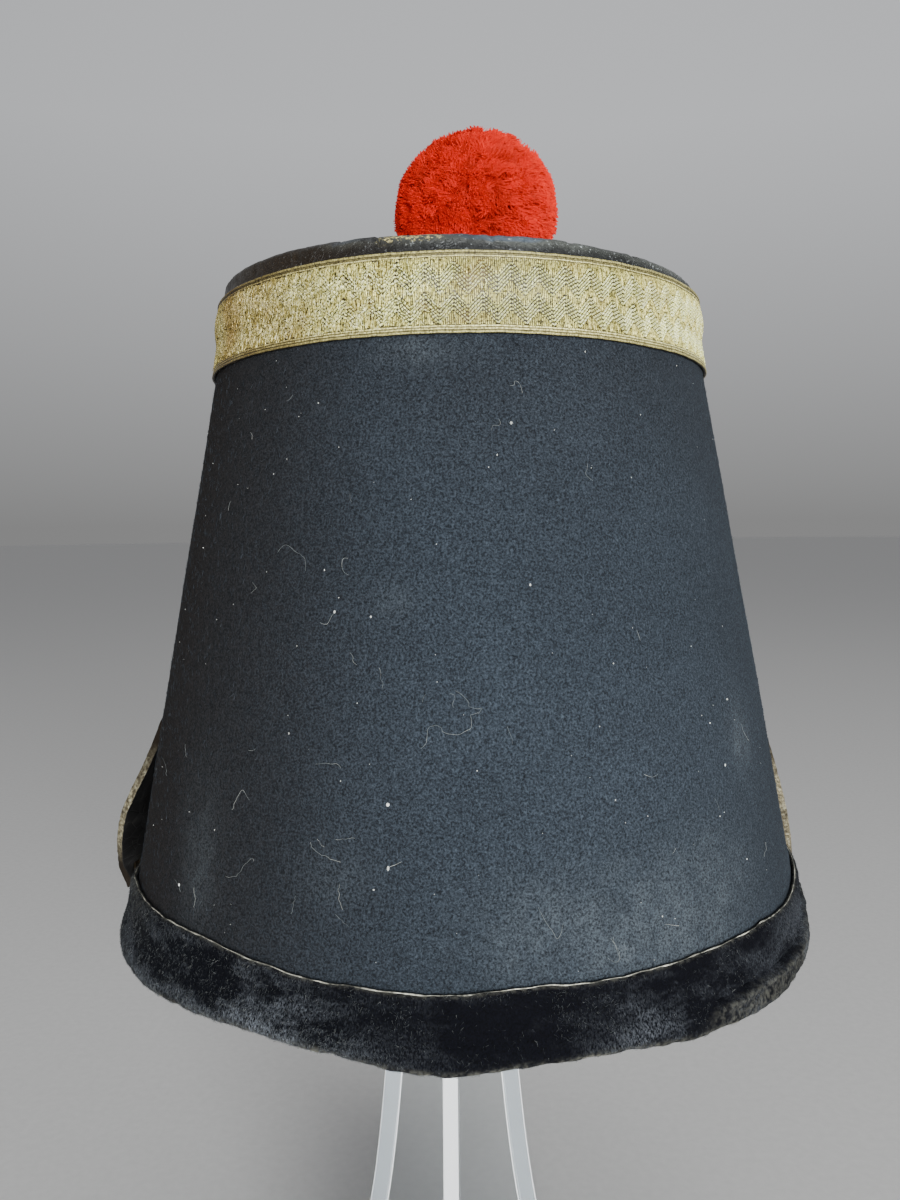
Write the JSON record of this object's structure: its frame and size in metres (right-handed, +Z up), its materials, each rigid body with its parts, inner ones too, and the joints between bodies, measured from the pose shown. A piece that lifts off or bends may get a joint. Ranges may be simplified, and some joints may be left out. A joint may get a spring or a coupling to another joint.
{
  "type": "shako hat on a clear stand",
  "caption": "Tapered felt shako with a metal lace band, leather top, velvet foot band, raised chin strap, peak and wool pompom, carried by a clear cross-panel stand.",
  "frame": {"origin": "middle of the stand's foot, on the surface that it stands on", "axes": "+Z up, +Y towards the hat's front with the peak and pompom, +X towards the right as seen from behind the hat"},
  "size_m": [0.1881, 0.2317, 0.3687],
  "materials": {
    "felt": "napped wool felt, dusty and rubbed",
    "patent_leather": "cracked black patent",
    "metal_lace": "woven tarnished metal thread",
    "velvet": "crushed worn velvet",
    "strap_leather": "black leather with worn edges",
    "peak_leather": "black patent",
    "pompom_wool": "cut wool",
    "post_iron": "blackened iron",
    "post_brass": "dull brass",
    "clear_acrylic": "clear, polished edges"
  },
  "bodies": {
    "root": {"felt_body": "felt", "patent_crown": "patent_leather", "metal_lace": "metal_lace", "velvet_band": "velvet", "chin_strap": "strap_leather", "strap_post_left": "post_brass", "strap_post_right": "post_brass", "peak": "peak_leather", "pompom": "pompom_wool", "pompom_post": "post_iron", "stand_panel_a": "clear_acrylic", "stand_panel_b": "clear_acrylic"}
  },
  "joints": []
}
